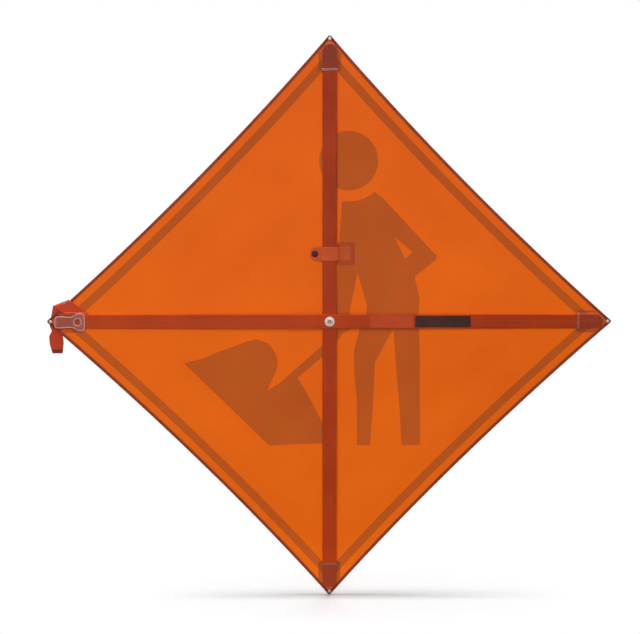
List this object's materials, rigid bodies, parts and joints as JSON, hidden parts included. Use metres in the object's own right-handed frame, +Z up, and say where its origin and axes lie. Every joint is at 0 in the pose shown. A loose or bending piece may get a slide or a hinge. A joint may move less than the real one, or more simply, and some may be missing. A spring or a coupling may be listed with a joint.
{
  "type": "roll-up traffic sign",
  "caption": "Diamond cloth road-work sign stretched on crossed flat ribs, with corner pockets, a keeper strap, a pull tab and a tie strap; the cross rib folds.",
  "frame": {"origin": "back face of the vertical rib, 115 mm above the lower tip, where a stand clamps it", "axes": "+Z up along the vertical rib, +Y out of the printed face, +X to the right seen from behind"},
  "size_m": [1.2882, 0.0246, 1.2882],
  "materials": {
    "orange_vinyl": "coated mesh cloth",
    "dark_binding": "woven tape",
    "red_fibreglass": "pultruded bar",
    "pocket_vinyl": "coated cloth",
    "orange_webbing": "webbing",
    "red_webbing": "webbing",
    "clear_vinyl": "clear sheet",
    "bright_aluminium": "bright",
    "black_enamel": "enamel",
    "white_nylon": "moulded",
    "orange_label": "blank film",
    "black_label": "blank film",
    "grey_hook_tape": "hook tape"
  },
  "bodies": {
    "sign": {"sign_cloth": "orange_vinyl", "binding_upper_right": "dark_binding", "binding_upper_left": "dark_binding", "binding_lower_left": "dark_binding", "binding_lower_right": "dark_binding", "vertical_rib": "red_fibreglass", "pivot_rivet": "bright_aluminium", "pivot_washer": "bright_aluminium", "pivot_spacer": "white_nylon", "tip_rivet_left": "bright_aluminium", "tip_rivet_right": "bright_aluminium", "tip_rivet_top": "bright_aluminium", "tip_rivet_bottom": "bright_aluminium", "pocket_left": "pocket_vinyl", "pocket_right": "pocket_vinyl", "pocket_top": "pocket_vinyl", "pocket_bottom": "pocket_vinyl", "keeper_patch": "orange_webbing", "keeper_sewn_end": "orange_webbing", "snap_stud": "black_enamel", "snap_eyelet": "black_enamel", "tie_strap": "red_webbing", "tie_strap_hook_tape": "grey_hook_tape"},
    "cross_rib_body": {"cross_rib": "red_fibreglass", "orange_label": "orange_label", "black_label": "black_label"},
    "keeper_strap": {"keeper_flap": "orange_webbing", "snap_cap": "black_enamel", "snap_socket": "black_enamel"},
    "pull_tab_body": {"pull_tab": "clear_vinyl"},
    "tie_loop": {"tie_strap_loop": "red_webbing"}
  },
  "joints": [
    {"name": "cross_rib_fold", "type": "hinge", "parent": "sign", "child": "cross_rib_body", "pos_m": [0, 0.00995, 0.53158], "axis": [0, -1, 0], "range_deg": [0, 90], "deforming": ["pocket_left", "pocket_right"]},
    {"name": "keeper_strap_open", "type": "hinge", "parent": "sign", "child": "keeper_strap", "pos_m": [0.025, 0.00671, 0.68558], "axis": [0, 0, 1], "range_deg": [0, 110]},
    {"name": "pull_tab_lift", "type": "hinge", "parent": "sign", "child": "pull_tab_body", "pos_m": [-0.62658, -0.00915, 0.53158], "axis": [0, 0, -1], "range_deg": [0, 70], "stiffness_Nm_per_rad": 0.01},
    {"name": "tie_loop_swing", "type": "hinge", "parent": "sign", "child": "tie_loop", "pos_m": [-0.62658, 0.00425, 0.50758], "axis": [1, 0, 0], "range_deg": [0, 80]}
  ]
}
